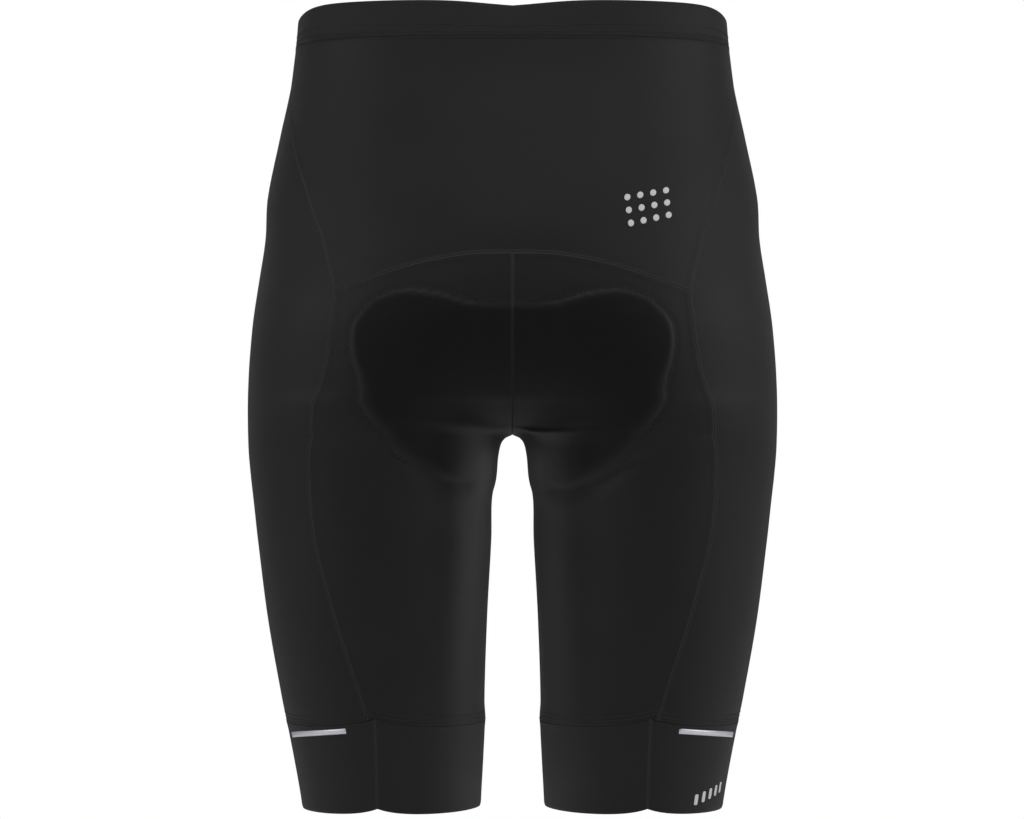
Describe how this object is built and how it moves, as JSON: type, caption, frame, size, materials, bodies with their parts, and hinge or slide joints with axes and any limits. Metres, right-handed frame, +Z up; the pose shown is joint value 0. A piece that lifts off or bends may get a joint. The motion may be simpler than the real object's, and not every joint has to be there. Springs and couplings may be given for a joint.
{
  "type": "cycling shorts",
  "caption": "Close-fitting stretch cycling shorts filled out as worn, with an arched back yoke, shaped side panels, leg grippers and a padded seat.",
  "frame": {"origin": "middle of the waist opening, level with the rim at the side seams, where the wearer's waist holds the shorts up", "axes": "+Z up, -Y towards the front of the garment, +X towards the wearer's left"},
  "size_m": [0.36, 0.2493, 0.5415],
  "materials": {
    "lycra": "smooth matt black warp-knit stretch cloth with a soft sheen",
    "band": "folded black stretch cloth over elastic, twin-needle stitched",
    "gripper": "dense matt black elastic knit",
    "pad": "brushed dark microfibre over foam",
    "reflective": "pale silver retroreflective tape"
  },
  "bodies": {
    "root": {"waistband": "band", "back_yoke": "lycra", "back_leg_left": "lycra", "back_leg_right": "lycra", "side_panel_left": "lycra", "side_panel_right": "lycra", "front_leg_left": "lycra", "front_leg_right": "lycra", "leg_gripper_left": "gripper", "leg_gripper_right": "gripper", "reflective_tab_left": "reflective", "reflective_tab_right": "reflective", "seat_pad": "pad"}
  },
  "joints": []
}
